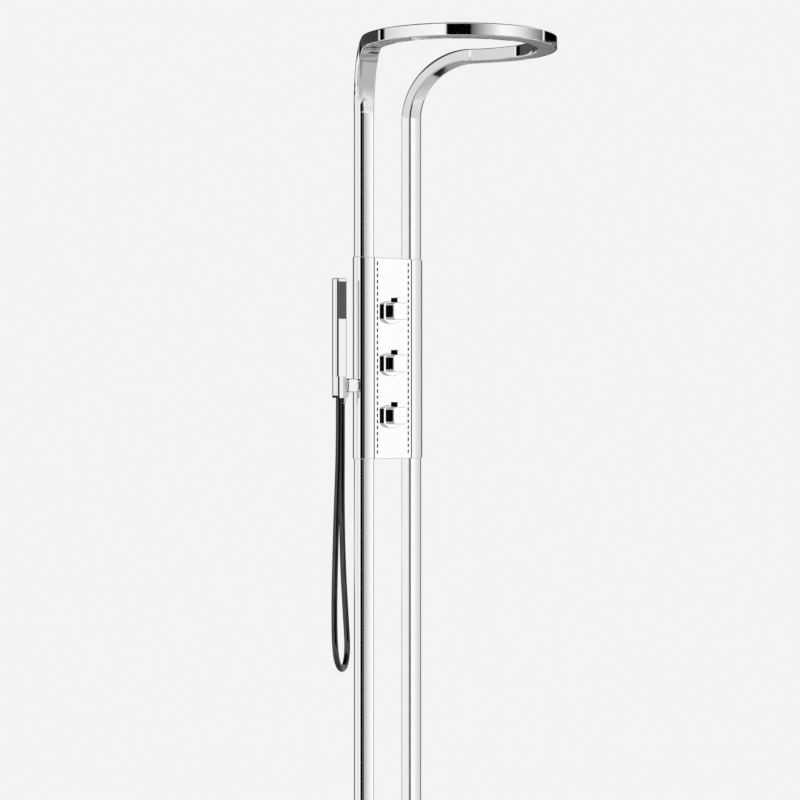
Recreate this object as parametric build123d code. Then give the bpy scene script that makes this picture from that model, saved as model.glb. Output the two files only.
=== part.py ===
from build123d import *
import math
import os

# A floor standing shower panel. Two flat tubes stand side by side, bend outward at the top and
# meet in front as one level spray ring. Between them sit the panel cover with two rows of body
# jets, three knobs, and a hand shower in a side holder.
# Millimetres, +Z up, front towards -Y. The origin is on the floor, midway between the columns.

# General clearances
SLIP_GAP = 0.3          # between neighbouring sheet pieces
RUN_GAP = 0.05          # radial, round a turning spindle
TURN_GAP = 0.4          # between a turning face and a fixed one

# Columns
COLUMN_SPACING = 134.0  # centre to centre
COLUMN_WIDTH = 38.0
COLUMN_DEPTH = 25.0
COLUMN_WALL = 2.0
OUTER_CORNER = 9.0      # radius of the two corners that face away from the other column
INNER_CORNER = 4.0
BEND_SWELL = 6.0        # extra radius of a bend's inner back corner, halfway round

# Spray ring
RING_RADIUS = 171.0     # centreline
RING_REACH = 200.0      # centre of the ring in front of the columns
RING_HEIGHT = 2182.0    # centreline above the floor
RING_EDGE = 2.5         # corner radius of the ring's section
RING_LIP = 4.0          # rim left each side of the opening under the ring
RING_PLATE_THICK = 2.0
RING_PLATE_RECESS = 0.4  # lower face of the plate above the lips' lower faces
RING_END_LAND = 3.0     # degrees of closed underside at each end of the ring
NOZZLE_RADIUS = 2.0
NOZZLE_PROUD = 0.3
NOZZLE_ROW_OFFSET = 7.0
NOZZLES_PER_ROW = 40

# Floor plate
PLATE_WIDTH = 280.0
PLATE_DEPTH = 260.0
PLATE_THICK = 12.0
BOLT_SPACING_X = 230.0
BOLT_SPACING_Y = 200.0
BOLT_RADIUS = 5.0
BOLT_HOLE_GAP = 0.5
SOCKET_HEIGHT = 60.0
INLET_RADIUS = 7.5
INLET_BORE = 5.5
INLET_RISE = 1.0        # end of the inlet above the floor
SOCKET_BORE = 4.0       # waterway above the inlet

# Panel
PANEL_BOTTOM = 1374.0
PANEL_HEIGHT = 400.0
COVER_WALL = 2.0
COVER_EDGE = 1.2        # rounding of the upper and lower edges
SEAM = 2.8              # gasket between the front plate and a side cover
SEAM_RECESS = 0.2       # face of the gasket behind the face of the cover
PLATE_OVERLAP = 3.5     # from a column's inner face to the middle of the gasket
CAP_THICK = 3.0
BACK_THICK = 2.0

# Body jets
JET_COUNT = 32
JET_PITCH = 12.06
JET_HEIGHT = 7.0
JET_WIDTH = 3.4
JET_ROW = 42.6          # distance of each row from the middle
JET_TOP = 12.0          # first jet below the top of the panel
STRIP_WIDTH = 8.0
STRIP_THICK = 3.0
JET_GAP = 0.1           # round each rubber jet in its slot
JET_RECESS = 0.2        # face of a jet behind the face of the plate

# Knobs
KNOB_X = -12.5
KNOB_TOP = 1667.0
KNOB_PITCH = 103.5
ROSETTE_WIDTH = 48.0
ROSETTE_SIDE = 32.0     # straight part of each side
ROSETTE_CROWN = 5.0
ROSETTE_BELLY = 9.0
ROSETTE_THICK = 11.6
HANDLE_WIDTH = 38.0
HANDLE_HEIGHT = 34.4
HANDLE_DEPTH = 22.6
HANDLE_CORNER = 6.0
HANDLE_EDGE = 1.2
TAB_WIDTH = 9.0
TAB_HEIGHT = 10.2
TAB_SETBACK = 3.6       # front of the tab behind the front of the handle
SPINDLE_RADIUS = 4.0
SPINDLE_IN_HANDLE = 15.0
SPINDLE_IN_CARTRIDGE = 16.0
CARTRIDGE_RADIUS = 11.0
CARTRIDGE_IN_ROSETTE = 5.5

# Manifold
MANIFOLD_WIDTH = 30.0
MANIFOLD_DEPTH = 12.0
MANIFOLD_MARGIN = 30.0  # beyond the outer knob axes
LINK_RADIUS = 5.0
LINK_WALL = 1.0

# Hand shower and its holder
HANDSET_X = -140.3
HANDSET_Y = -8.0
HANDSET_WIDTH = 27.8
HANDSET_DEPTH = 19.8
HANDSET_LENGTH = 193.0
HANDSET_CORNER = 4.5
HANDSET_BACK_CORNER = 9.0
HANDSET_EDGE = 2.4      # rounding of the top
CUP_TOP = 1536.0
CUP_HEIGHT = 41.0
CUP_DEPTH = 22.0
CUP_LEFT = 12.3         # from the hand shower's axis to the outer side of the cup
CUP_RIGHT = 18.3
CUP_CHAMFER = 5.0       # lower left
CUP_CUT = 4.0           # lower right
CUP_EDGE = 4.5          # front left upright edge
CUP_BACK_EDGE = 9.0     # back left upright edge
CUP_FACET_WIDTH = 17.5  # slanting face at the front right
CUP_FACET_DEPTH = 2.5
SPIGOT_RADIUS = 8.0
SPIGOT_GAP = 0.5
KNUCKLE_WIDTH = 28.7
KNUCKLE_HEIGHT = 27.0
KNUCKLE_TOP = 1533.0
KNUCKLE_RIGHT = -99.0
KNUCKLE_FRONT = -21.0
KNUCKLE_BACK = 20.0
KNUCKLE_CORNER = 6.0
KNUCKLE_EDGE = 2.5      # rounding of its front face
ARM_RADIUS = 9.0
UNION_RADIUS = 3.2
UNION_REACH = 10.0      # into the column
OUTLET_X = -113.5
OUTLET_Y = 12.0
OUTLET_RADIUS = 5.0
OUTLET_LENGTH = 8.0

# Nozzle plate of the hand shower
SPRAY_WIDTH = 23.0
SPRAY_HEIGHT = 73.0
SPRAY_TOP_MARGIN = 6.5
SPRAY_THICK = 1.5
SPRAY_RECESS = 0.8
SPRAY_NUB_RADIUS = 0.9
SPRAY_NUB_PROUD = 0.3
SPRAY_COLUMNS = 4
SPRAY_ROWS = 12
CHAMBER_DEPTH = 6.0
WATERWAY_RADIUS = 3.5

# Hose
HOSE_DIAMETER = 11.6
HOSE_BORE = 8.0
NUT_RADIUS = 7.4
NUT_HEIGHT = 14.0
OUTLET_DROP = 92.0      # straight stretch below each nut
HANDSET_DROP = 104.0

# Derived places
column_x = COLUMN_SPACING / 2
inner_face = column_x - COLUMN_WIDTH / 2
outer_face = column_x + COLUMN_WIDTH / 2
column_front = -COLUMN_DEPTH / 2
bend_turn = math.asin(RING_RADIUS / math.hypot(column_x, RING_REACH)) - math.atan2(column_x, RING_REACH)
bend_radius = RING_REACH * math.cos(bend_turn) - column_x * math.sin(bend_turn)
column_top = RING_HEIGHT - bend_radius
cover_offset = SLIP_GAP + COVER_WALL
panel_front = column_front - cover_offset
panel_inside = panel_front + COVER_WALL
panel_top = PANEL_BOTTOM + PANEL_HEIGHT
panel_middle = PANEL_BOTTOM + PANEL_HEIGHT / 2
front_plate_half = inner_face + PLATE_OVERLAP - SEAM / 2
cover_start = front_plate_half + SEAM
inside_half = inner_face - SLIP_GAP
back_inside = COLUMN_DEPTH / 2 - BACK_THICK
manifold_front = back_inside - MANIFOLD_DEPTH
rosette_front = panel_front - ROSETTE_THICK
handle_back = rosette_front - TURN_GAP
handle_front = handle_back - HANDLE_DEPTH
cartridge_front = panel_front - CARTRIDGE_IN_ROSETTE
spindle_back = cartridge_front + SPINDLE_IN_CARTRIDGE
spindle_front = handle_back - SPINDLE_IN_HANDLE
knob_heights = [KNOB_TOP - KNOB_PITCH * i for i in range(3)]
knuckle_middle = KNUCKLE_TOP - KNUCKLE_HEIGHT / 2
knuckle_left = KNUCKLE_RIGHT - KNUCKLE_WIDTH
cup_bottom = CUP_TOP - CUP_HEIGHT
outlet_bottom = KNUCKLE_TOP - KNUCKLE_HEIGHT - OUTLET_LENGTH
handset_bottom = CUP_TOP + SLIP_GAP
handset_front = HANDSET_Y - HANDSET_DEPTH / 2
nut_bottom = cup_bottom + 1.0
hose_outlet_z = outlet_bottom - NUT_HEIGHT
hose_handset_z = nut_bottom - SLIP_GAP


def slab(x0, x1, y0, y1, z0, z1):
    """A box between six faces."""
    size = (x1 - x0, y1 - y0, z1 - z0)
    return Pos((x0 + x1) / 2, (y0 + y1) / 2, (z0 + z1) / 2) * Box(*size)


def rod_z(x, y, z0, z1, radius):
    """An upright cylinder."""
    return Pos(x, y, (z0 + z1) / 2) * Cylinder(radius, z1 - z0)


def rod_y(x, z, y0, y1, radius):
    """A cylinder along the depth of the panel."""
    return Pos(x, (y0 + y1) / 2, z) * Rot(90, 0, 0) * Cylinder(radius, y1 - y0)


def rod_x(y, z, x0, x1, radius):
    """A cylinder along the width of the panel."""
    return Pos((x0 + x1) / 2, y, z) * Rot(0, 90, 0) * Cylinder(radius, x1 - x0)


def mirrored(solid):
    """The same piece on the left side."""
    return mirror(solid, about=Plane.YZ)


def section(width, depth, inner_r, outer_r, back_r):
    """Rounded oblong: local +X is the outer side, and the inner back corner has its own radius."""
    w = width / 2
    d = depth / 2
    turn = math.sqrt(0.5)
    corners = [(w, -d, outer_r, -1, 1), (w, d, outer_r, -1, -1)]
    corners += [(-w, d, back_r, 1, -1), (-w, -d, inner_r, 1, 1)]
    edges = []
    starts = []
    ends = []
    for i, (x, y, r, sx, sy) in enumerate(corners):
        centre = (x + sx * r, y + sy * r)
        along_x = (x + sx * r, y)
        along_y = (x, y + sy * r)
        middle = (centre[0] - sx * r * turn, centre[1] - sy * r * turn)
        first, last = (along_x, along_y) if i % 2 == 0 else (along_y, along_x)
        edges.append(ThreePointArc(first, middle, last))
        starts.append(first)
        ends.append(last)
    for i in range(4):
        edges.append(Line(ends[i], starts[(i + 1) % 4]))
    return make_face(edges)


def column_section(offset):
    """The column's outline, grown or shrunk by an offset."""
    inner_r = max(INNER_CORNER + offset, 0.4)
    outer_r = max(OUTER_CORNER + offset, 0.6)
    return section(COLUMN_WIDTH + 2 * offset, COLUMN_DEPTH + 2 * offset, inner_r, outer_r, inner_r)


def right_column():
    """Hollow upright tube from the floor plate to the bend."""
    height = column_top - PLATE_THICK
    base = Pos(column_x, 0, PLATE_THICK)
    tube = base * extrude(column_section(0), height) - base * extrude(column_section(-COLUMN_WALL), height)
    for z in link_heights():
        tube -= rod_x(link_y(), z, inner_face - 1, inner_face + COLUMN_WALL + 1, LINK_RADIUS + SLIP_GAP)
    return tube


def link_heights():
    """Heights of the two pipes that feed the manifold."""
    return [knob_heights[2] - MANIFOLD_MARGIN / 2, knob_heights[0] + MANIFOLD_MARGIN / 2]


def link_y():
    """Depth of the feed pipes."""
    return manifold_front + MANIFOLD_DEPTH / 2


def left_column():
    """The other tube, with a hole for the hand shower's union."""
    tube = mirrored(right_column())
    hole = rod_x(0, knuckle_middle, -outer_face - 1, -outer_face + COLUMN_WALL + 1, UNION_RADIUS + SLIP_GAP)
    return tube - hole


def bend_plane(share):
    """Section plane at a share of the quarter bend. The section twists to follow the ring."""
    angle = share * math.pi / 2
    twist = bend_turn * (1 - share)
    sin_t, cos_t = math.sin(bend_turn), math.cos(bend_turn)
    out = bend_radius * (1 - math.cos(angle))
    centre = Vector(column_x + out * sin_t, -out * cos_t, column_top + bend_radius * math.sin(angle))
    across = Vector(cos_t, sin_t, 0)
    normal = Vector(-sin_t * math.cos(angle), cos_t * math.cos(angle), math.sin(angle))
    wide = across * math.cos(twist) - normal * math.sin(twist)
    tall = across * math.sin(twist) + normal * math.cos(twist)
    return Plane(origin=centre, x_dir=wide, z_dir=wide.cross(tall))


def bend_solid(offset):
    """One quarter bend as a loft through turned sections."""
    faces = []
    steps = 10
    for i in range(steps + 1):
        share = i / steps
        outer_r = OUTER_CORNER + (RING_EDGE - OUTER_CORNER) * share
        inner_r = INNER_CORNER + (RING_EDGE - INNER_CORNER) * share
        back_r = inner_r + BEND_SWELL * math.sin(math.pi * share)
        shape = section(COLUMN_WIDTH + 2 * offset, COLUMN_DEPTH + 2 * offset, max(inner_r + offset, 0.4),
                        max(outer_r + offset, 0.6), max(back_r + offset, 0.4))
        faces.append(bend_plane(share) * shape)
    return loft(faces)


def right_bend():
    """Hollow bend from the column to the ring."""
    return bend_solid(0) - bend_solid(-COLUMN_WALL)


def ring_sweep(face, trim=0.0):
    """Turn a section about the ring's centre, short of both ends by an angle in degrees."""
    span = 180 + 2 * math.degrees(bend_turn) - 2 * trim
    solid = revolve(face, Axis.Z, span)
    return Pos(0, -RING_REACH, RING_HEIGHT) * Rot(0, 0, 180 - math.degrees(bend_turn) + trim) * solid


def ring_box(offset_r, offset_z, width, height, radius=0.0):
    """Upright oblong at a distance from the ring's centreline."""
    shape = Rectangle(width, height) if radius == 0 else RectangleRounded(width, height, radius)
    return Plane.XZ * Pos(RING_RADIUS + offset_r, offset_z) * shape


def ring_shell():
    """The hollow ring, open underneath between two lips."""
    outer = ring_sweep(ring_box(0, 0, COLUMN_WIDTH, COLUMN_DEPTH, RING_EDGE))
    inner_width = COLUMN_WIDTH - 2 * COLUMN_WALL
    inner_height = COLUMN_DEPTH - 2 * COLUMN_WALL
    hollow = ring_sweep(ring_box(0, 0, inner_width, inner_height))
    mouth_z = -COLUMN_DEPTH / 2 + COLUMN_WALL / 2
    mouth = ring_sweep(ring_box(0, mouth_z, COLUMN_WIDTH - 2 * RING_LIP, COLUMN_WALL * 1.5), RING_END_LAND)
    return outer - hollow - mouth


def ring_plate():
    """Nozzle plate that lies on the lips inside the ring and fills the opening between them."""
    bottom = -COLUMN_DEPTH / 2 + COLUMN_WALL
    width = COLUMN_WIDTH - 2 * COLUMN_WALL - 2 * SLIP_GAP
    plate = ring_sweep(ring_box(0, bottom + RING_PLATE_THICK / 2, width, RING_PLATE_THICK), RING_END_LAND / 2)
    low = -COLUMN_DEPTH / 2 + RING_PLATE_RECESS
    high = bottom + RING_PLATE_THICK / 2
    step = ring_box(0, (low + high) / 2, COLUMN_WIDTH - 2 * RING_LIP - 2 * SLIP_GAP, high - low)
    return plate + ring_sweep(step, RING_END_LAND + math.degrees(SLIP_GAP / RING_RADIUS))


def ring_nozzles():
    """Two rows of rubber nozzles under the plate."""
    low = RING_HEIGHT - COLUMN_DEPTH / 2 - NOZZLE_PROUD
    top = low + NOZZLE_PROUD + RING_PLATE_RECESS
    turn = math.degrees(bend_turn)
    first = 180 - turn + 2 * RING_END_LAND
    step = (180 + 2 * turn - 4 * RING_END_LAND) / (NOZZLES_PER_ROW - 1)
    nubs = []
    for row in (-1, 1):
        for i in range(NOZZLES_PER_ROW):
            a = math.radians(first + step * i)
            r = RING_RADIUS + row * NOZZLE_ROW_OFFSET
            nubs.append(rod_z(r * math.cos(a), -RING_REACH + r * math.sin(a), low, top, NOZZLE_RADIUS))
    return Compound(nubs)


def bolt_places():
    """The four floor bolts."""
    return [(sx * BOLT_SPACING_X / 2, sy * BOLT_SPACING_Y / 2) for sx in (-1, 1) for sy in (-1, 1)]


def floor_plate():
    """Steel plate with bolt holes and a hole for each inlet."""
    plate = Pos(0, 0, PLATE_THICK / 2) * Box(PLATE_WIDTH, PLATE_DEPTH, PLATE_THICK)
    plate = fillet(plate.edges().filter_by(Axis.Z), 12)
    plate = chamfer(plate.faces().sort_by(Axis.Z)[-1].edges(), 1.5)
    for x, y in bolt_places():
        plate -= rod_z(x, y, -1, PLATE_THICK + 1, BOLT_RADIUS + BOLT_HOLE_GAP)
    for side in (-1, 1):
        plate -= rod_z(side * column_x, 0, -1, PLATE_THICK + 1, INLET_RADIUS + SLIP_GAP)
    return plate


def socket():
    """Block on the floor plate that the right column slips over."""
    gap = COLUMN_WALL + SLIP_GAP
    block = Pos(column_x, 0, PLATE_THICK) * extrude(column_section(-gap), SOCKET_HEIGHT)
    return block - rod_z(column_x, 0, PLATE_THICK - 1, PLATE_THICK + SOCKET_HEIGHT + 1, SOCKET_BORE)


def inlet():
    """Inlet nipple in the floor plate, under the right socket."""
    nipple = rod_z(column_x, 0, INLET_RISE, PLATE_THICK, INLET_RADIUS)
    return nipple - rod_z(column_x, 0, 0, PLATE_THICK + 1, INLET_BORE)


def side_cover():
    """C shaped cover round the right column, open towards the middle."""
    base = Pos(column_x, 0, PANEL_BOTTOM)
    cover = base * extrude(column_section(cover_offset), PANEL_HEIGHT)
    ends = cover.faces().sort_by(Axis.Z)
    cover = fillet(ends[0].edges() + ends[-1].edges(), COVER_EDGE)
    cover -= base * extrude(column_section(SLIP_GAP), PANEL_HEIGHT)
    return cover - slab(0, cover_start, -60, 60, PANEL_BOTTOM - 1, panel_top + 1)


def seam_strip():
    """Gasket between the front plate and the right cover."""
    front = panel_front + SEAM_RECESS
    return slab(front_plate_half, cover_start, front, panel_inside, PANEL_BOTTOM + COVER_EDGE, panel_top - COVER_EDGE)


def left_cover():
    """Left cover with the hole for the hand shower's union."""
    edge = outer_face + cover_offset
    return mirrored(side_cover()) - rod_x(0, knuckle_middle, -edge - 1, -edge + 4, UNION_RADIUS + SLIP_GAP)


def jet_heights():
    """Heights of the body jets, from the top down."""
    return [panel_top - JET_TOP - JET_PITCH * i for i in range(JET_COUNT)]


def front_plate():
    """Flat front with two rows of slots and three cartridge holes."""
    plate = slab(-front_plate_half, front_plate_half, panel_front, panel_inside, PANEL_BOTTOM, panel_top)
    plate = fillet(plate.edges().filter_by(Axis.X).group_by(Axis.Y)[0], COVER_EDGE)
    cuts = []
    for side in (-1, 1):
        for z in jet_heights():
            cuts.append(Pos(side * JET_ROW, panel_front, z) * Box(JET_WIDTH, 3 * COVER_WALL, JET_HEIGHT))
    for z in knob_heights:
        cuts.append(rod_y(KNOB_X, z, panel_front - 1, panel_inside + 1, CARTRIDGE_RADIUS + SLIP_GAP))
    return plate - cuts


def jet_strip():
    """Rubber strip behind the right row of slots, with one jet in each slot."""
    low = jet_heights()[-1] - JET_PITCH / 2
    high = jet_heights()[0] + JET_PITCH / 2
    half = STRIP_WIDTH / 2
    strip = slab(JET_ROW - half, JET_ROW + half, panel_inside, panel_inside + STRIP_THICK, low, high)
    wide = JET_WIDTH / 2 - JET_GAP
    tall = JET_HEIGHT / 2 - JET_GAP
    front = panel_front + JET_RECESS
    jets = [slab(JET_ROW - wide, JET_ROW + wide, front, panel_inside, z - tall, z + tall) for z in jet_heights()]
    return strip + jets


def back_plate():
    """Closes the panel between the columns."""
    return slab(-inside_half, inside_half, back_inside, back_inside + BACK_THICK, PANEL_BOTTOM, panel_top)


def end_cap(z0):
    """Closes one end of the panel."""
    return slab(-inside_half, inside_half, panel_inside, back_inside, z0, z0 + CAP_THICK)


def manifold():
    """Valve block on the back plate."""
    half = MANIFOLD_WIDTH / 2
    low = knob_heights[2] - MANIFOLD_MARGIN
    high = knob_heights[0] + MANIFOLD_MARGIN
    block = slab(KNOB_X - half, KNOB_X + half, manifold_front, back_inside, low, high)
    return fillet(block.edges().filter_by(Axis.Y), 4)


def link_pipe(side):
    """Two short pipes between a column and the manifold."""
    inner = KNOB_X + side * MANIFOLD_WIDTH / 2
    outer = side * (inner_face + COLUMN_WALL + 3)
    x0, x1 = sorted((inner, outer))
    pipes = []
    for z in link_heights():
        pipe = rod_x(link_y(), z, x0, x1, LINK_RADIUS)
        pipes.append(pipe - rod_x(link_y(), z, x0 - 1, x1 + 1, LINK_RADIUS - LINK_WALL))
    return Compound(pipes)


def cartridge(z):
    """Valve cartridge from the manifold through the front plate."""
    body = rod_y(KNOB_X, z, cartridge_front, manifold_front, CARTRIDGE_RADIUS)
    return body - rod_y(KNOB_X, z, cartridge_front - 1, spindle_back + 0.3, SPINDLE_RADIUS + RUN_GAP)


def rosette(z):
    """Base behind a knob, with straight sides, a low crown and a deeper belly."""
    w = ROSETTE_WIDTH / 2
    s = ROSETTE_SIDE / 2
    top = ThreePointArc((w, s), (0, s + ROSETTE_CROWN), (-w, s))
    bottom = ThreePointArc((-w, -s), (0, -s - ROSETTE_BELLY), (w, -s))
    face = make_face([Line((w, -s), (w, s)), top, Line((-w, s), (-w, -s)), bottom])
    body = Pos(KNOB_X, panel_front, z) * (Plane.XZ * extrude(face, ROSETTE_THICK))
    body = fillet(body.edges().filter_by(Axis.Y), 3)
    body = chamfer(body.faces().sort_by(Axis.Y)[0].edges(), 0.8)
    body -= rod_y(KNOB_X, z, cartridge_front - SLIP_GAP, panel_front + 1, CARTRIDGE_RADIUS + SLIP_GAP)
    return body - rod_y(KNOB_X, z, rosette_front - 1, cartridge_front + 1, SPINDLE_RADIUS + TURN_GAP)


def handle(z):
    """Square handle with a blind bore for the spindle."""
    body = Pos(KNOB_X, (handle_front + handle_back) / 2, z) * Box(HANDLE_WIDTH, HANDLE_DEPTH, HANDLE_HEIGHT)
    body = fillet(body.edges().filter_by(Axis.Y), HANDLE_CORNER)
    body = fillet(body.faces().sort_by(Axis.Y)[0].edges(), HANDLE_EDGE)
    return body - rod_y(KNOB_X, z, spindle_front - 0.2, handle_back + 1, SPINDLE_RADIUS + RUN_GAP)


def tab(z):
    """Small grip on top of a handle."""
    low = z + HANDLE_HEIGHT / 2
    front = handle_front + TAB_SETBACK
    half = TAB_WIDTH / 2
    body = slab(KNOB_X - half, KNOB_X + half, front, handle_back, low, low + TAB_HEIGHT)
    return fillet(body.faces().sort_by(Axis.Z)[-1].edges(), 0.8)


def spindle(z):
    """Spindle that turns in the cartridge and carries the handle."""
    return rod_y(KNOB_X, z, spindle_front, spindle_back, SPINDLE_RADIUS)


def knuckle():
    """Rounded square block between the arm and the cup."""
    y_mid = (KNUCKLE_FRONT + KNUCKLE_BACK) / 2
    x_mid = (knuckle_left + KNUCKLE_RIGHT) / 2
    block = Pos(x_mid, y_mid, knuckle_middle) * Box(KNUCKLE_WIDTH, KNUCKLE_BACK - KNUCKLE_FRONT, KNUCKLE_HEIGHT)
    block = fillet(block.edges().filter_by(Axis.Y), KNUCKLE_CORNER)
    return fillet(block.faces().sort_by(Axis.Y)[0].edges(), KNUCKLE_EDGE)


def arm():
    """Collar against the side cover, with a union that reaches into the left column."""
    edge = -outer_face - cover_offset
    collar = rod_x(0, knuckle_middle, KNUCKLE_RIGHT, edge, ARM_RADIUS)
    return collar + rod_x(0, knuckle_middle, edge, -outer_face + UNION_REACH, UNION_RADIUS)


def cup():
    """Cup that the hand shower stands in, cut to fit the knuckle."""
    x0 = HANDSET_X - CUP_LEFT
    x1 = HANDSET_X + CUP_RIGHT
    y0 = HANDSET_Y - CUP_DEPTH / 2
    y1 = HANDSET_Y + CUP_DEPTH / 2
    block = slab(x0, x1, y0, y1, cup_bottom, CUP_TOP)
    block = fillet(block.edges().filter_by(Axis.Z).group_by(Axis.X)[0].sort_by(Axis.Y)[0], CUP_EDGE)
    block = fillet(block.edges().filter_by(Axis.Z).group_by(Axis.X)[0].sort_by(Axis.Y)[-1], CUP_BACK_EDGE)
    facet_x = x1 - CUP_FACET_WIDTH
    facet = Polyline((facet_x, y0), (x1, y0 + CUP_FACET_DEPTH), (x1 + 1, y0 + CUP_FACET_DEPTH),
                     (x1 + 1, y0 - 1), (facet_x, y0 - 1), close=True)
    block -= Pos(0, 0, cup_bottom - 1) * extrude(make_face(facet), CUP_HEIGHT + 2)
    for x, cut in ((x0, CUP_CHAMFER), (x1, CUP_CUT)):
        side = cut * math.sqrt(2)
        block -= Pos(x, HANDSET_Y, cup_bottom) * Rot(0, 45, 0) * Box(side, 2 * CUP_DEPTH, side)
    block -= slab(knuckle_left, KNUCKLE_RIGHT, KNUCKLE_FRONT, KNUCKLE_BACK, KNUCKLE_TOP - KNUCKLE_HEIGHT, CUP_TOP + 1)
    return block - rod_z(HANDSET_X, HANDSET_Y, cup_bottom - 1, CUP_TOP + 1, SPIGOT_RADIUS + SPIGOT_GAP)


def outlet():
    """Hose outlet under the knuckle."""
    return rod_z(OUTLET_X, OUTLET_Y, outlet_bottom, outlet_bottom + OUTLET_LENGTH, OUTLET_RADIUS)


def hose_nut(x, y, top):
    """Nut on one end of the hose."""
    nut = rod_z(x, y, top - NUT_HEIGHT, top, NUT_RADIUS)
    return chamfer(nut.faces().sort_by(Axis.Z)[0].edges(), 0.8)


def handset():
    """Square hand shower with a chamber behind its nozzle plate and a spigot underneath."""
    top = handset_bottom + HANDSET_LENGTH
    half = HANDSET_WIDTH / 2
    back = HANDSET_Y + HANDSET_DEPTH / 2
    body = slab(HANDSET_X - half, HANDSET_X + half, handset_front, back, handset_bottom, top)
    body = fillet(body.edges().filter_by(Axis.Z).group_by(Axis.Y)[0], HANDSET_CORNER)
    body = fillet(body.edges().filter_by(Axis.Z).group_by(Axis.Y)[-1], HANDSET_BACK_CORNER)
    body = fillet(body.faces().sort_by(Axis.Z)[-1].edges(), HANDSET_EDGE)
    body += rod_z(HANDSET_X, HANDSET_Y, nut_bottom + NUT_HEIGHT, handset_bottom, SPIGOT_RADIUS)
    spray = SPRAY_WIDTH / 2 + SLIP_GAP
    inner = handset_front + SPRAY_RECESS + SPRAY_THICK
    body -= slab(HANDSET_X - spray, HANDSET_X + spray, handset_front - 1, inner, spray_low() - SLIP_GAP,
                 spray_high() + SLIP_GAP)
    body -= slab(HANDSET_X - spray + 2, HANDSET_X + spray - 2, inner - 1, inner + CHAMBER_DEPTH,
                 spray_low() + 2, spray_high() - 2)
    return body - rod_z(HANDSET_X, HANDSET_Y, nut_bottom, spray_low() + 10, WATERWAY_RADIUS)


def spray_high():
    """Top of the hand shower's nozzle plate."""
    return handset_bottom + HANDSET_LENGTH - SPRAY_TOP_MARGIN


def spray_low():
    """Bottom of the hand shower's nozzle plate."""
    return spray_high() - SPRAY_HEIGHT


def spray_plate():
    """Nozzle plate set into the front of the hand shower."""
    half = SPRAY_WIDTH / 2
    front = handset_front + SPRAY_RECESS
    return slab(HANDSET_X - half, HANDSET_X + half, front, front + SPRAY_THICK, spray_low(), spray_high())


def spray_nubs():
    """Rubber nubs on the nozzle plate."""
    face = handset_front + SPRAY_RECESS
    pitch_x = SPRAY_WIDTH / SPRAY_COLUMNS
    pitch_z = SPRAY_HEIGHT / SPRAY_ROWS
    nubs = []
    for i in range(SPRAY_COLUMNS):
        for j in range(SPRAY_ROWS):
            x = HANDSET_X - SPRAY_WIDTH / 2 + pitch_x * (i + 0.5)
            z = spray_low() + pitch_z * (j + 0.5)
            nubs.append(rod_y(x, z, face - SPRAY_NUB_PROUD, face, SPRAY_NUB_RADIUS))
    return Compound(nubs)


def hose_points():
    """The hanging loop from the outlet to the hand shower, as chosen by eye.

    Each entry is the distance from the loop's middle, a sideways lean and a height.
    """
    middle = Vector((OUTLET_X + HANDSET_X) / 2, (OUTLET_Y + HANDSET_Y) / 2, 0)
    away = Vector(-0.842, -0.537, 0)
    lean = Vector(0.537, -0.842, 0)
    route = [(-22.5, -3.4, 1285), (-33.5, -3.9, 1165), (-44.5, -1.4, 1070), (-48.5, 2.2, 997),
             (-20.5, 3.8, 963), (20.0, 4.4, 963), (48.0, 2.4, 993), (45.0, -0.8, 1067),
             (35.0, -1.9, 1158), (23.0, -1.6, 1280)]
    outlet_end = Vector(OUTLET_X, OUTLET_Y, hose_outlet_z)
    handset_end = Vector(HANDSET_X, HANDSET_Y, hose_handset_z)
    points = [outlet_end, outlet_end - Vector(0, 0, OUTLET_DROP)]
    for along, side, z in route:
        points.append(middle + away * along + lean * side + Vector(0, 0, z))
    points += [handset_end - Vector(0, 0, HANDSET_DROP), handset_end]
    return points


def hose():
    """Hose tube along straight runs joined by tangent arcs."""
    points = hose_points()
    radii = []
    for before, here, after in zip(points, points[1:], points[2:]):
        turn = (here - before).get_angle(after - here)
        shorter = min((here - before).length, (after - here).length)
        radii.append(0.45 * shorter / math.tan(math.radians(turn / 2)))
    print("hose bend radii in diameters", [round(r / HOSE_DIAMETER, 1) for r in radii])
    path = FilletPolyline(*points, radius=radii)
    first = points[1] - points[0]
    plane = Plane(origin=points[0], z_dir=first)
    ring = plane * (Circle(HOSE_DIAMETER / 2) - Circle(HOSE_BORE / 2))
    tube = sweep(ring, path)
    area = math.pi * (HOSE_DIAMETER ** 2 - HOSE_BORE ** 2) / 4
    print("hose length", round(path.length, 1), "volume ratio", round(tube.volume / area / path.length, 5))
    return tube


def save(name, solid):
    """Write one piece."""
    solid.label = name
    export_step(solid, "parts/" + name + ".step")


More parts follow.
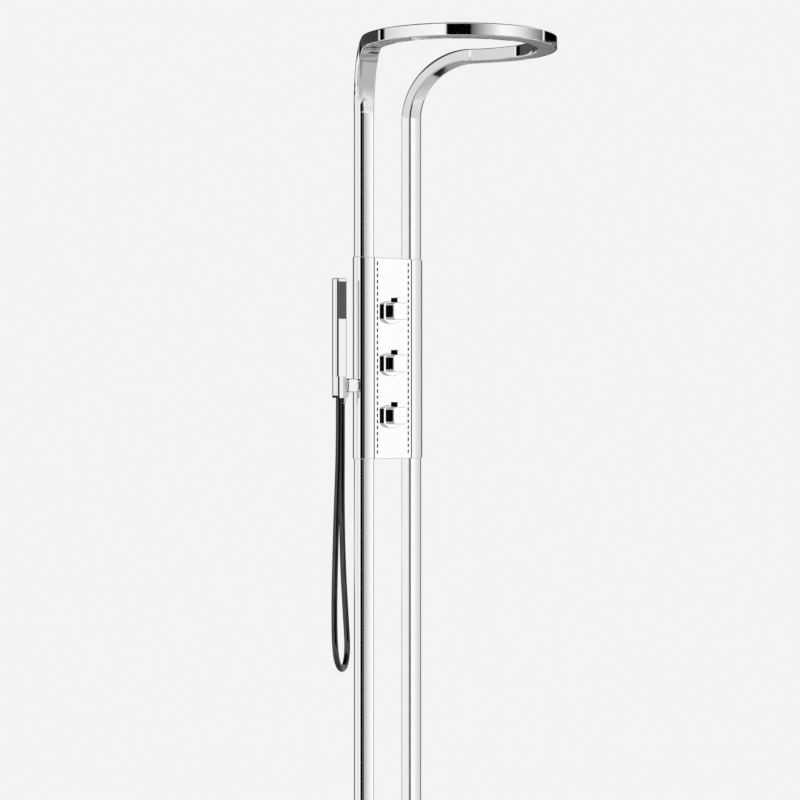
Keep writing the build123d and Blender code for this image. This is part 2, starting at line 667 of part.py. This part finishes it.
def main():
    """Write every piece of the panel."""
    os.makedirs("parts", exist_ok=True)
    save("floor_plate", floor_plate())
    for side, turn in (("right", lambda s: s), ("left", mirrored)):
        save(side + "_socket", turn(socket()))
        save(side + "_inlet", turn(inlet()))
        save(side + "_bend", turn(right_bend()))
        save(side + "_jet_strip", turn(jet_strip()))
        save(side + "_seam", turn(seam_strip()))
    save("right_column", right_column())
    save("left_column", left_column())
    save("right_cover", side_cover())
    save("left_cover", left_cover())
    save("ring_shell", ring_shell())
    save("ring_plate", ring_plate())
    save("ring_nozzles", ring_nozzles())
    save("front_plate", front_plate())
    save("back_plate", back_plate())
    save("top_cap", end_cap(panel_top - CAP_THICK))
    save("bottom_cap", end_cap(PANEL_BOTTOM))
    save("manifold", manifold())
    save("right_links", link_pipe(1))
    save("left_links", link_pipe(-1))
    for name, z in zip(("diverter", "flow", "thermostat"), knob_heights):
        save(name + "_cartridge", cartridge(z))
        save(name + "_rosette", rosette(z))
        save(name + "_spindle", spindle(z))
        save(name + "_handle", handle(z))
        save(name + "_tab", tab(z))
    save("holder_arm", arm())
    save("holder_knuckle", knuckle())
    save("holder_cup", cup())
    save("hose_outlet", outlet())
    save("outlet_nut", hose_nut(OUTLET_X, OUTLET_Y, outlet_bottom))
    save("handset_nut", hose_nut(HANDSET_X, HANDSET_Y, nut_bottom + NUT_HEIGHT))
    save("hose", hose())
    save("handset_body", handset())
    save("spray_plate", spray_plate())
    save("spray_nubs", spray_nubs())


if __name__ == "__main__":
    main()
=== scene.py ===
"""Finishes, hose and studio for a floor standing shower panel."""
import math

import bpy
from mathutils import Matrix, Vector


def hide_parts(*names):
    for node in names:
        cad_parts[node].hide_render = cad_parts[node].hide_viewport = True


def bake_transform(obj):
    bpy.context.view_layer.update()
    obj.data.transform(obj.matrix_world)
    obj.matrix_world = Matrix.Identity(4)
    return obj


bl_info = {
    "name": "Shower Panel",
    "version": (1, 0, 0),
    "blender": (4, 5, 0),
    "location": "3D View > Sidebar > Shower",
    "description": "Finishes, hose and studio for a twin column shower panel",
    "category": "Object",
}

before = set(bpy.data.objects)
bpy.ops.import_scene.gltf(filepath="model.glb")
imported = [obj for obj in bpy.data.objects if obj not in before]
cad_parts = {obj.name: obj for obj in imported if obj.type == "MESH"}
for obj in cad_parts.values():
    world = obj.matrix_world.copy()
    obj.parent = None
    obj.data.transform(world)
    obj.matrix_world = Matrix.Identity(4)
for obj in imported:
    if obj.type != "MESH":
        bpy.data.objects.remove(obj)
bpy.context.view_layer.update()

COLUMN_NODES = ["left_column", "right_column", "left_bend", "right_bend"]
KNOBS = ["diverter", "flow", "thermostat"]
HOLDER_NODES = ["holder_arm", "holder_knuckle", "holder_cup", "hose_outlet", "outlet_nut", "handset_nut"]

# Ends of the hose as x, y, z, and the loop between them as distance from its middle, sideways lean
# and height, in millimetres and the same terms as the solid model. The tilt is that of the line
# along which the hose passes from the panel to the hand shower when the hand shower lifts.
OUTLET_END = (-113.5, 12.0, 1484.0)
HANDSET_END = (-140.3, -8.0, 1495.7)
OUTLET_DROP = 92.0
HANDSET_DROP = 104.0
LOOP_AWAY = (-0.842, -0.537)
LOOP_LEAN = (0.537, -0.842)
LOOP = [(-22.5, -3.4, 1285), (-33.5, -3.9, 1165), (-44.5, -1.4, 1070), (-48.5, 2.2, 997),
        (-20.5, 3.8, 963), (20.0, 4.4, 963), (48.0, 2.4, 993), (45.0, -0.8, 1067),
        (35.0, -1.9, 1158), (23.0, -1.6, 1280)]
# Fineness of the hose's mesh: sides of a quarter of its section, and steps between two points
HOSE_QUARTER_SIDES = 8
HOSE_STEPS = 24
# Middle stretch of a noise, over which roughness changes, and that over which colour does
ROUGHNESS_STRETCH = (0.3, 0.7)
TINT_STRETCH = (0.35, 0.65)


class FinishSettings(bpy.types.PropertyGroup):
    """Colours and polish of the panel's finishes."""
    metal: bpy.props.FloatVectorProperty(
        name="Bright metal", description="Colour of the polished metal", subtype="COLOR",
        default=(0.93, 0.935, 0.94), min=0.0, max=1.0)
    polish: bpy.props.FloatProperty(
        name="Polish", description="Roughness of the polished metal", default=0.015, min=0.0, max=1.0)
    rubber: bpy.props.FloatVectorProperty(
        name="Rubber", description="Colour of strips and nozzles", subtype="COLOR",
        default=(0.004, 0.004, 0.004), min=0.0, max=1.0)
    nozzle: bpy.props.FloatVectorProperty(
        name="Ring nozzles", description="Colour of the ring's nozzles", subtype="COLOR",
        default=(0.27, 0.27, 0.27), min=0.0, max=1.0)
    spray_grey: bpy.props.FloatVectorProperty(
        name="Spray plate", description="Colour of the hand shower's nozzle plate", subtype="COLOR",
        default=(0.074, 0.074, 0.069), min=0.0, max=1.0)
    nub: bpy.props.FloatVectorProperty(
        name="Spray nubs", description="Colour of the hand shower's nozzles", subtype="COLOR",
        default=(0.05, 0.05, 0.05), min=0.0, max=1.0)
    ring_plate: bpy.props.FloatVectorProperty(
        name="Ring plate", description="Colour of the plate under the ring", subtype="COLOR",
        default=(0.86, 0.865, 0.87), min=0.0, max=1.0)
    steel: bpy.props.FloatVectorProperty(
        name="Steel", description="Colour of the brushed steel", subtype="COLOR",
        default=(0.6, 0.61, 0.62), min=0.0, max=1.0)
    brass: bpy.props.FloatVectorProperty(
        name="Brass", description="Colour of the inner fittings", subtype="COLOR",
        default=(0.78, 0.62, 0.32), min=0.0, max=1.0)


class HoseSettings(bpy.types.PropertyGroup):
    """Size and colour of the hose."""
    diameter: bpy.props.FloatProperty(
        name="Diameter", description="Outer diameter of the hose", default=0.0116, min=0.005, max=0.03,
        unit="LENGTH", precision=4)
    length: bpy.props.FloatProperty(
        name="Length", description="Length of the hose between its nuts", default=1.11, min=0.5, max=2.0,
        unit="LENGTH", precision=4)
    metal: bpy.props.FloatVectorProperty(
        name="Hose metal", description="Colour of the hose's skin", subtype="COLOR",
        default=(0.085, 0.085, 0.087), min=0.0, max=1.0)


class StudioSettings(bpy.types.PropertyGroup):
    """Camera, backdrop and lamp."""
    background: bpy.props.FloatProperty(
        name="Background", description="Level of the plain background", default=0.896, min=0.0, max=1.0)
    floor_radius: bpy.props.FloatProperty(
        name="Floor", description="Radius of the floor disc", default=2.6, min=0.5, unit="LENGTH")
    azimuth: bpy.props.FloatProperty(
        name="Azimuth", description="Camera direction, from the front towards the right",
        default=math.radians(-44.0), subtype="ANGLE")
    distance: bpy.props.FloatProperty(
        name="Distance", description="Camera to the panel's axis", default=4.827, min=1.0, unit="LENGTH")
    height: bpy.props.FloatProperty(
        name="Height", description="Camera above the floor", default=1.491, min=0.1, unit="LENGTH")
    aside: bpy.props.FloatProperty(
        name="Aside", description="Camera's step to its own right", default=0.0243, unit="LENGTH")
    lens: bpy.props.FloatProperty(
        name="Lens", description="Focal length in millimetres on a 36 mm frame", default=108.6, min=10.0)
    lamp: bpy.props.FloatProperty(
        name="Lamp", description="Power of the overhead lamp in watts", default=60.0, min=0.0)
    lamp_size: bpy.props.FloatProperty(
        name="Lamp size", description="Side of the overhead lamp", default=2.5, min=0.1, unit="LENGTH")
    lamp_place: bpy.props.FloatVectorProperty(
        name="Lamp place", description="Where the overhead lamp hangs", subtype="TRANSLATION",
        default=(-1.2, -1.6, 4.2))
    lamp_turn: bpy.props.FloatVectorProperty(
        name="Lamp turn", description="Turn of the overhead lamp", subtype="EULER",
        default=(math.radians(22), math.radians(-14), 0.0))


def node_tools(tree):
    """Short makers for nodes and links in one tree."""
    def add(kind, **values):
        node = tree.nodes.new(kind)
        for key, value in values.items():
            setattr(node, key, value)
        return node

    def join(source, target):
        tree.links.new(source, target)

    return add, join


def new_finish(name, roughness, metallic):
    """A material with one Principled shader, with its node tree and the shader."""
    material = bpy.data.materials.new(name)
    material.use_nodes = True
    tree = material.node_tree
    shader = tree.nodes["Principled BSDF"]
    shader.inputs["Metallic"].default_value = metallic
    shader.inputs["Roughness"].default_value = roughness
    return material, tree, shader


def mottle(tree, scale, stretch=(1.0, 1.0, 1.0), detail=3.0):
    """Object space noise. A low stretch along an axis draws the noise out that way."""
    add, join = node_tools(tree)
    place = add("ShaderNodeTexCoord")
    grain = add("ShaderNodeMapping")
    grain.inputs["Scale"].default_value = stretch
    noise = add("ShaderNodeTexNoise")
    noise.inputs["Scale"].default_value = scale
    noise.inputs["Detail"].default_value = detail
    join(place.outputs["Object"], grain.inputs["Vector"])
    join(grain.outputs["Vector"], noise.inputs["Vector"])
    return noise.outputs["Fac"]


def ranged(tree, source, low, high, to_low=0.0, to_high=1.0):
    """A value mapped from one stretch onto another, and held at its ends."""
    add, join = node_tools(tree)
    node = add("ShaderNodeMapRange")
    node.inputs["From Min"].default_value = low
    node.inputs["From Max"].default_value = high
    node.inputs["To Min"].default_value = to_low
    node.inputs["To Max"].default_value = to_high
    join(source, node.inputs["Value"])
    return node.outputs["Result"]


def spread(tree, noise, roughness, least, most):
    """Roughness that a noise varies between two shares of its plain value."""
    return ranged(tree, noise, *ROUGHNESS_STRETCH, roughness * least, roughness * most)


def roughened(tree, noise, strength, distance):
    """Surface normal with a fine bump from a noise."""
    add, join = node_tools(tree)
    bump = add("ShaderNodeBump")
    bump.inputs["Strength"].default_value = strength
    bump.inputs["Distance"].default_value = distance
    join(noise, bump.inputs["Height"])
    return bump.outputs["Normal"]


def shade(colour, share):
    """A darker or lighter version of a colour."""
    return tuple(min(1.0, part * share) for part in colour)


def tinted(tree, source, dark, light):
    """Two close colours mixed by a noise."""
    add, join = node_tools(tree)
    ramp = add("ShaderNodeValToRGB")
    for stop, place, colour in zip(ramp.color_ramp.elements, TINT_STRETCH, (dark, light)):
        stop.position = place
        stop.color = (*colour, 1.0)
    join(source, ramp.inputs["Fac"])
    return ramp.outputs["Color"]


def polished_metal(name, colour, roughness):
    """Plated metal with the faintest change of polish over its surface."""
    material, tree, shader = new_finish(name, roughness, metallic=1.0)
    _, join = node_tools(tree)
    noise = mottle(tree, scale=9.0, stretch=(1.0, 1.0, 0.25))
    join(tinted(tree, noise, shade(colour, 0.985), colour), shader.inputs["Base Color"])
    join(spread(tree, noise, roughness, least=0.7, most=1.3), shader.inputs["Roughness"])
    return material


def brushed_steel(name, colour, roughness):
    """Steel or brass with a fine brushed grain."""
    material, tree, shader = new_finish(name, roughness, metallic=1.0)
    _, join = node_tools(tree)
    grain = mottle(tree, scale=60.0, stretch=(8.0, 0.4, 0.4), detail=5.0)
    join(tinted(tree, grain, shade(colour, 0.88), colour), shader.inputs["Base Color"])
    join(spread(tree, grain, roughness, least=0.8, most=1.25), shader.inputs["Roughness"])
    join(roughened(tree, grain, strength=0.15, distance=0.0003), shader.inputs["Normal"])
    return material


def moulded(name, colour, roughness, pebble, sheen=0.5):
    """Moulded rubber or plastic with a fine pebble."""
    material, tree, shader = new_finish(name, roughness, metallic=0.0)
    shader.inputs["Specular IOR Level"].default_value = sheen
    _, join = node_tools(tree)
    noise = mottle(tree, scale=pebble, detail=4.0)
    join(tinted(tree, noise, shade(colour, 0.85), shade(colour, 1.15)), shader.inputs["Base Color"])
    join(roughened(tree, noise, strength=0.2, distance=0.0001), shader.inputs["Normal"])
    return material


def hose_metal(name, colour):
    """Dark polished hose skin with lighter and darker streaks along its length."""
    roughness = 0.1
    material, tree, shader = new_finish(name, roughness, metallic=1.0)
    shader.inputs["Specular IOR Level"].default_value = 0.2
    _, join = node_tools(tree)
    streak = mottle(tree, scale=260.0, stretch=(1.0, 1.0, 0.01), detail=1.0)
    join(tinted(tree, streak, shade(colour, 0.8), shade(colour, 1.2)), shader.inputs["Base Color"])
    join(spread(tree, streak, roughness, least=0.8, most=1.2), shader.inputs["Roughness"])
    return material


def give(material, names):
    """Put one finish on whole nodes of the solid model."""
    for name in names:
        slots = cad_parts[name].data.materials
        slots.clear()
        slots.append(material)


def unmirrored(names):
    """Keep nodes out of what their neighbours mirror."""
    for name in names:
        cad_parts[name].visible_glossy = False


def hose_route():
    """The hose's points in metres."""
    out = Vector(OUTLET_END)
    hand = Vector(HANDSET_END)
    middle = (out + hand) / 2
    points = [out, out - Vector((0, 0, OUTLET_DROP))]
    for along, side, z in LOOP:
        x = middle.x + LOOP_AWAY[0] * along + LOOP_LEAN[0] * side
        y = middle.y + LOOP_AWAY[1] * along + LOOP_LEAN[1] * side
        points.append(Vector((x, y, z)))
    points += [hand - Vector((0, 0, HANDSET_DROP)), hand]
    return [p / 1000 for p in points]


def hose_line(route, radius):
    """The smooth line through the hose's points, as a mesh, round where a radius is given."""
    curve = bpy.data.curves.new("hose_line", "CURVE")
    curve.dimensions = "3D"
    curve.bevel_depth = radius
    curve.bevel_resolution = HOSE_QUARTER_SIDES
    curve.resolution_u = HOSE_STEPS
    curve.use_fill_caps = radius > 0
    spline = curve.splines.new("NURBS")
    spline.points.add(len(route) - 1)
    for point, place in zip(spline.points, route):
        point.co = (*place, 1.0)
    spline.order_u = 3
    spline.use_endpoint_u = True
    holder = bpy.data.objects.new("hose_line", curve)
    bpy.context.scene.collection.objects.link(holder)
    bpy.context.view_layer.update()
    mesh = bpy.data.meshes.new_from_object(holder)
    bpy.data.objects.remove(holder)
    bpy.data.curves.remove(curve)
    for face in mesh.polygons:
        face.use_smooth = True
    return mesh


class SHOWER_OT_columns(bpy.types.Operator):
    """Finish the two columns and their bends"""
    bl_idname = "shower.columns"
    bl_label = "Columns"

    def execute(self, context):
        s = context.scene.shower_finish
        give(polished_metal("column_metal", tuple(s.metal), s.polish), COLUMN_NODES)
        return {"FINISHED"}


class SHOWER_OT_ring(bpy.types.Operator):
    """Finish the spray ring, its plate and its nozzles"""
    bl_idname = "shower.ring"
    bl_label = "Spray ring"

    def execute(self, context):
        s = context.scene.shower_finish
        give(polished_metal("ring_metal", tuple(s.metal), s.polish), ["ring_shell"])
        give(polished_metal("ring_plate_steel", tuple(s.ring_plate), roughness=0.06), ["ring_plate"])
        rubber = moulded("ring_nozzle_rubber", tuple(s.nozzle), roughness=0.5, pebble=900.0, sheen=0.1)
        give(rubber, ["ring_nozzles"])
        unmirrored(["ring_nozzles"])
        return {"FINISHED"}


class SHOWER_OT_panel(bpy.types.Operator):
    """Finish the panel's covers, plates and jet strips"""
    bl_idname = "shower.panel"
    bl_label = "Panel"

    def execute(self, context):
        s = context.scene.shower_finish
        give(polished_metal("panel_metal", tuple(s.metal), s.polish),
             ["left_cover", "right_cover", "front_plate"])
        give(moulded("strip_rubber", tuple(s.rubber), roughness=0.6, pebble=700.0, sheen=0.05),
             ["left_jet_strip", "right_jet_strip", "left_seam", "right_seam"])
        give(brushed_steel("back_steel", tuple(s.steel), roughness=0.32),
             ["back_plate", "top_cap", "bottom_cap"])
        give(brushed_steel("fitting_brass", tuple(s.brass), roughness=0.3),
             ["manifold", "left_links", "right_links"] + [k + "_cartridge" for k in KNOBS])
        return {"FINISHED"}


class SHOWER_OT_knobs(bpy.types.Operator):
    """Finish the three knobs and their rosettes"""
    bl_idname = "shower.knobs"
    bl_label = "Knobs"

    def execute(self, context):
        s = context.scene.shower_finish
        names = [k + part for k in KNOBS for part in ("_rosette", "_handle", "_tab")]
        give(polished_metal("knob_metal", tuple(s.metal), s.polish), names)
        give(brushed_steel("spindle_brass", tuple(s.brass), roughness=0.25), [k + "_spindle" for k in KNOBS])
        unmirrored(names + [k + part for k in KNOBS for part in ("_spindle", "_cartridge")])
        return {"FINISHED"}


class SHOWER_OT_handset(bpy.types.Operator):
    """Finish the hand shower and its holder"""
    bl_idname = "shower.handset"
    bl_label = "Hand shower"

    def execute(self, context):
        s = context.scene.shower_finish
        give(polished_metal("handset_metal", tuple(s.metal), s.polish), ["handset_body"] + HOLDER_NODES)
        give(moulded("spray_plate_grey", tuple(s.spray_grey), roughness=0.45, pebble=500.0), ["spray_plate"])
        give(moulded("spray_rubber", tuple(s.nub), roughness=0.55, pebble=900.0), ["spray_nubs"])
        return {"FINISHED"}


class SHOWER_OT_hose(bpy.types.Operator):
    """Hang the hose in one loop from the holder to the hand shower"""
    bl_idname = "shower.hose"
    bl_label = "Hose"

    def execute(self, context):
        s = context.scene.shower_hose
        route = hose_route()
        line = hose_line(route, 0.0)
        bpy.data.meshes.remove(line)
        tube = hose_line(route, s.diameter / 2)
        tube.materials.append(hose_metal("hose_metal", tuple(s.metal)))
        hose = bpy.data.objects.new("shower_hose", tube)
        context.scene.collection.objects.link(hose)
        hose.visible_glossy = False
        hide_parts("hose")
        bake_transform(hose)
        return {"FINISHED"}


class SHOWER_OT_base(bpy.types.Operator):
    """Finish the floor plate, sockets and inlets"""
    bl_idname = "shower.base"
    bl_label = "Base"

    def execute(self, context):
        s = context.scene.shower_finish
        give(polished_metal("base_metal", tuple(s.metal), roughness=0.12), ["floor_plate"])
        give(brushed_steel("socket_steel", tuple(s.steel), roughness=0.35), ["left_socket", "right_socket"])
        give(brushed_steel("inlet_brass", tuple(s.brass), roughness=0.28), ["left_inlet", "right_inlet"])
        return {"FINISHED"}


# What the bright metal mirrors, as pairs of azimuth in degrees and level: a white studio with dark
# flags. Azimuth 0 is the front and positive turns to the right. Upright faces meet the low band, the
# ring's inner wall the middle one and its outer wall the high one. The edge of the flag beside the
# front faces is drawn finer than the rest. The light notches at 0, 90 and 180 keep flat faces from
# going black in straight views.
LOW_BAND = [(-180, 0.5), (-178.4, 0.5), (-177.8, 0.0), (-151, 0.0), (-149, 0.88), (-134, 0.93), (-124, 0.5),
            (-108, 0.95), (-58, 0.98), (-55, 0.0), (-2.2, 0.0), (-1.6, 0.5), (1.6, 0.5), (2.2, 0.0),
            (31, 0.0), (35, 0.85), (47, 0.72), (52, 0.76), (57.5, 0.8), (60, 0.46), (63, 0.3), (66, 0.02),
            (87.8, 0.02), (88.4, 0.5), (91.6, 0.5), (92.2, 0.02), (131, 0.02), (133, 0.3), (140, 0.3),
            (142, 0.0), (177.8, 0.0), (178.4, 0.5)]
EDGE_RANGE = (41, 46)
EDGE_BAND = [(41.0, 0.9), (42.98, 0.95), (43.06, 0.4), (43.13, 0.37), (43.17, 0.5), (43.24, 0.8),
             (43.32, 1.05), (44.33, 1.05), (44.42, 0.75), (44.5, 0.7), (46.0, 0.72)]
MIDDLE_BAND = [(-180, 0.08), (-150, 0.08), (-148, 0.0), (-140.5, 0.0), (-139.5, 1.0), (-138, 1.0),
               (-136.5, 0.72), (-40, 0.72), (0, 0.8), (44, 0.8), (90, 0.3), (136, 0.08)]
HIGH_BAND = [(-180, 0.045), (-155, 0.045), (-153.4, 0.95), (-152.2, 0.95), (-150.8, 0.0), (-144, 0.0),
             (-141.5, 0.7), (-110, 0.9), (-66, 1.0), (-61, 1.0), (-59.5, 0.0), (-32, 0.0), (-30.5, 0.13),
             (4, 1.0), (20, 0.96), (33.5, 0.78), (49, 0.48), (66, 0.21), (69.5, 0.2), (70.5, 0.95),
             (72.5, 0.95), (74.6, 0.0), (112, 0.0), (117, 0.06), (150, 0.05)]
# The part behind the metal that has its own ground and ceiling, as azimuth and share
BEHIND = [(-180, 1.0), (-149, 1.0), (-147, 0.0), (140, 0.0), (142, 1.0)]
# The part to its right that has its own ground, as the azimuths where it fades in and out
TO_THE_RIGHT = [(92, 97), (146, 150)]
# A light streak behind the metal for the outer side of the left bend, as azimuth and elevation.
# It fades out between two distances from its middle line.
STREAK_LEVEL = 0.9
STREAK_HALF = (0.5, 0.8)
STREAK_LIMIT = 30
STREAK = [(-180, -1.7), (-172, -3.2), (-163, -4.1), (-153, -2.9), (-146, 1.0), (-139, 6.0), (-120, 30),
          (140, 30), (162, 3.6), (170, 1.2), (180, -1.6)]
# The ground in front, to the right and behind, and the ceiling, as elevation and level
GROUND = [(-90, 0.3), (-68, 0.3), (-60, 0.5), (-30, 0.5), (-18, 0.68), (-12, 0.86)]
GROUND_RIGHT = [(-90, 0.3), (-39, 0.3), (-37, 0.02), (-33, 0.02), (-30.5, 0.3), (-12, 0.38)]
GROUND_BEHIND = [(-90, 0.3), (-50, 0.3), (-47, 0.02), (-40, 0.02), (-37, 0.5), (-12, 0.88)]
CEILING = [(9, 0.76), (38, 0.76), (44, 0.1), (60, 0.02), (90, 0.02)]
CEILING_BEHIND = 0.02
# Where ground, bands and ceiling meet, as a stretch of elevation
GROUND_TO_LOW = (-12.5, -10.5)
LOW_TO_MIDDLE = (7.1, 7.5)
MIDDLE_TO_HIGH = (8.38, 8.44)
HIGH_TO_CEILING = (9.0, 10.0)
# Level of the studio on all that doesn't mirror it
PLAIN_LEVEL = 0.8
# How far the floor disc lies under the panel, in metres
FLOOR_DROP = 0.0005


def band_ramp(tree, band, value, low=-180, high=180):
    """A colour ramp over a stretch of angle in degrees, from pairs of angle and level."""
    add, join = node_tools(tree)
    ramp = add("ShaderNodeValToRGB")
    stops = ramp.color_ramp.elements
    while len(stops) < len(band):
        stops.new(0.5)
    for stop, (angle, level) in zip(stops, band):
        stop.position = (angle - low) / (high - low)
        stop.color = (level, level, level, 1.0)
    join(ranged(tree, value, low, high), ramp.inputs["Fac"])
    return ramp.outputs["Color"]


def maths(tree, operation, first, second=None):
    """One sum on one or two values, each a socket or a number."""
    add, join = node_tools(tree)
    node = add("ShaderNodeMath", operation=operation)
    for place, value in enumerate((first, second)):
        if isinstance(value, (int, float)):
            node.inputs[place].default_value = value
        elif value is not None:
            join(value, node.inputs[place])
    return node.outputs["Value"]


def blended(tree, factor, under, over):
    """One level over another."""
    add, join = node_tools(tree)
    mix = add("ShaderNodeMix", data_type="RGBA")
    join(factor, mix.inputs["Factor"])
    for socket, level in (("A", under), ("B", over)):
        if isinstance(level, float):
            mix.inputs[socket].default_value = (level, level, level, 1.0)
        else:
            join(level, mix.inputs[socket])
    return mix.outputs["Result"]


def mirrored_angles(tree):
    """Azimuth and elevation of a ray that leaves the scene, in degrees."""
    add, join = node_tools(tree)
    place = add("ShaderNodeTexCoord")
    axes = add("ShaderNodeSeparateXYZ")
    join(place.outputs["Generated"], axes.inputs["Vector"])
    forward = maths(tree, "MULTIPLY", axes.outputs["Y"], -1.0)
    turn = maths(tree, "ARCTAN2", axes.outputs["X"], forward)
    rise = maths(tree, "ARCSINE", axes.outputs["Z"])
    degree = math.degrees(1)
    return maths(tree, "MULTIPLY", turn, degree), maths(tree, "MULTIPLY", rise, degree)


def near_streak(tree, azimuth, elevation):
    """1 on the light streak, 0 away from it."""
    heights = [(angle, (height + STREAK_LIMIT) / (2 * STREAK_LIMIT)) for angle, height in STREAK]
    middle = ranged(tree, band_ramp(tree, heights, azimuth), 0, 1, -STREAK_LIMIT, STREAK_LIMIT)
    apart = maths(tree, "ABSOLUTE", maths(tree, "SUBTRACT", elevation, middle))
    inner, outer = STREAK_HALF
    return ranged(tree, apart, outer, inner)


def low_level(tree, azimuth, elevation):
    """Level round the horizon, with the fine flag edge and the light streak."""
    start, end = EDGE_RANGE
    near_edge = maths(tree, "COMPARE", azimuth, (start + end) / 2)
    near_edge.node.inputs[2].default_value = (end - start) / 2
    level = blended(tree, near_edge, band_ramp(tree, LOW_BAND, azimuth),
                    band_ramp(tree, EDGE_BAND, azimuth, start, end))
    return blended(tree, near_streak(tree, azimuth, elevation), level, STREAK_LEVEL)


def ground_level(tree, azimuth, elevation):
    """Level below the horizon."""
    front, right, back = [band_ramp(tree, band, elevation, low=-90, high=0)
                          for band in (GROUND, GROUND_RIGHT, GROUND_BEHIND)]
    (start, start_full), (end_full, end) = TO_THE_RIGHT
    begun = ranged(tree, azimuth, start, start_full)
    rightwards = blended(tree, ranged(tree, azimuth, end_full, end), begun, 0.0)
    level = blended(tree, rightwards, front, right)
    return blended(tree, band_ramp(tree, BEHIND, azimuth), level, back)


def ceiling_level(tree, azimuth, elevation):
    """Level high above the horizon."""
    front = band_ramp(tree, CEILING, elevation, 0, 90)
    return blended(tree, band_ramp(tree, BEHIND, azimuth), front, CEILING_BEHIND)


def studio_world(background):
    """Plain background for the camera, white studio with dark flags for the metal to mirror."""
    world = bpy.data.worlds.new("studio_world")
    bpy.context.scene.world = world
    world.use_nodes = True
    tree = world.node_tree
    add, join = node_tools(tree)
    azimuth, elevation = mirrored_angles(tree)
    level = ground_level(tree, azimuth, elevation)
    layers = [(GROUND_TO_LOW, low_level(tree, azimuth, elevation)),
              (LOW_TO_MIDDLE, band_ramp(tree, MIDDLE_BAND, azimuth)),
              (MIDDLE_TO_HIGH, band_ramp(tree, HIGH_BAND, azimuth)),
              (HIGH_TO_CEILING, ceiling_level(tree, azimuth, elevation))]
    for stretch, layer in layers:
        level = blended(tree, ranged(tree, elevation, *stretch), level, layer)
    path = add("ShaderNodeLightPath")
    level = blended(tree, path.outputs["Is Glossy Ray"], PLAIN_LEVEL, level)
    level = blended(tree, path.outputs["Is Camera Ray"], level, background)
    join(level, tree.nodes["Background"].inputs["Color"])


def floor_disc(background, radius):
    """A pale round floor, just under the panel's underside."""
    bpy.ops.mesh.primitive_circle_add(
        vertices=128, radius=radius, fill_type="NGON", location=(0, 0, -FLOOR_DROP))
    disc = bpy.context.active_object
    disc.name = "studio_floor"
    material, tree, shader = new_finish("floor_paint", roughness=0.9, metallic=0.0)
    _, join = node_tools(tree)
    white = (background,) * 3
    join(tinted(tree, mottle(tree, scale=3.0), shade(white, 0.995), white), shader.inputs["Base Color"])
    disc.data.materials.append(material)
    disc.visible_glossy = False


def hang_lamp(settings):
    """A wide soft lamp overhead, which the metal doesn't mirror."""
    lamp = bpy.data.lights.new("overhead_lamp", "AREA")
    lamp.energy = settings.lamp
    lamp.size = settings.lamp_size
    hung = bpy.data.objects.new("overhead_lamp", lamp)
    hung.location = settings.lamp_place
    hung.rotation_euler = settings.lamp_turn
    hung.visible_glossy = False
    bpy.context.scene.collection.objects.link(hung)


def camera(settings):
    """The photograph's camera: level, far away, from the front left."""
    a = settings.azimuth
    towards = Vector((math.sin(a), -math.cos(a), 0))
    right = Vector((math.cos(a), math.sin(a), 0))
    data = bpy.data.cameras.new("photo_camera")
    data.lens = settings.lens
    data.sensor_width = 36.0
    data.clip_end = 60.0
    view = bpy.data.objects.new("photo_camera", data)
    view.location = towards * settings.distance + right * settings.aside + Vector((0, 0, settings.height))
    view.rotation_euler = (math.pi / 2, 0, a)
    bpy.context.scene.collection.objects.link(view)
    bpy.context.scene.camera = view


class SHOWER_OT_stage(bpy.types.Operator):
    """Set the floor, background, lamp and camera"""
    bl_idname = "shower.stage"
    bl_label = "Stage"

    def execute(self, context):
        s = context.scene.shower_studio
        context.scene.view_settings.view_transform = "Standard"
        studio_world(s.background)
        floor_disc(s.background, s.floor_radius)
        hang_lamp(s)
        camera(s)
        return {"FINISHED"}


class SHOWER_PT_panel(bpy.types.Panel):
    """Lists the shower panel's steps and settings"""
    bl_idname = "SHOWER_PT_panel"
    bl_label = "Shower panel"
    bl_space_type = "VIEW_3D"
    bl_region_type = "UI"
    bl_category = "Shower"

    def draw(self, context):
        for operator in STEPS:
            self.layout.operator(operator.bl_idname)
        for group in ("shower_finish", "shower_hose", "shower_studio"):
            settings = getattr(context.scene, group)
            for name in settings.bl_rna.properties.keys():
                if name not in ("rna_type", "name"):
                    self.layout.prop(settings, name)


STEPS = [SHOWER_OT_columns, SHOWER_OT_ring, SHOWER_OT_panel, SHOWER_OT_knobs, SHOWER_OT_handset,
         SHOWER_OT_hose, SHOWER_OT_base, SHOWER_OT_stage]
GROUPS = {"shower_finish": FinishSettings, "shower_hose": HoseSettings, "shower_studio": StudioSettings}


def register():
    """Register the settings, steps and sidebar panel."""
    for name, group in GROUPS.items():
        bpy.utils.register_class(group)
        setattr(bpy.types.Scene, name, bpy.props.PointerProperty(type=group))
    for step in STEPS:
        bpy.utils.register_class(step)
    bpy.utils.register_class(SHOWER_PT_panel)


def unregister():
    """Remove what register added."""
    bpy.utils.unregister_class(SHOWER_PT_panel)
    for step in reversed(STEPS):
        bpy.utils.unregister_class(step)
    for name, group in GROUPS.items():
        delattr(bpy.types.Scene, name)
        bpy.utils.unregister_class(group)


def main():
    """Dress the panel and set the stage."""
    register()
    bpy.ops.shower.columns()
    bpy.ops.shower.ring()
    bpy.ops.shower.panel()
    bpy.ops.shower.knobs()
    bpy.ops.shower.handset()
    bpy.ops.shower.hose()
    bpy.ops.shower.base()
    bpy.ops.shower.stage()
    bpy.context.view_layer.update()


if __name__ == "__main__":
    main()
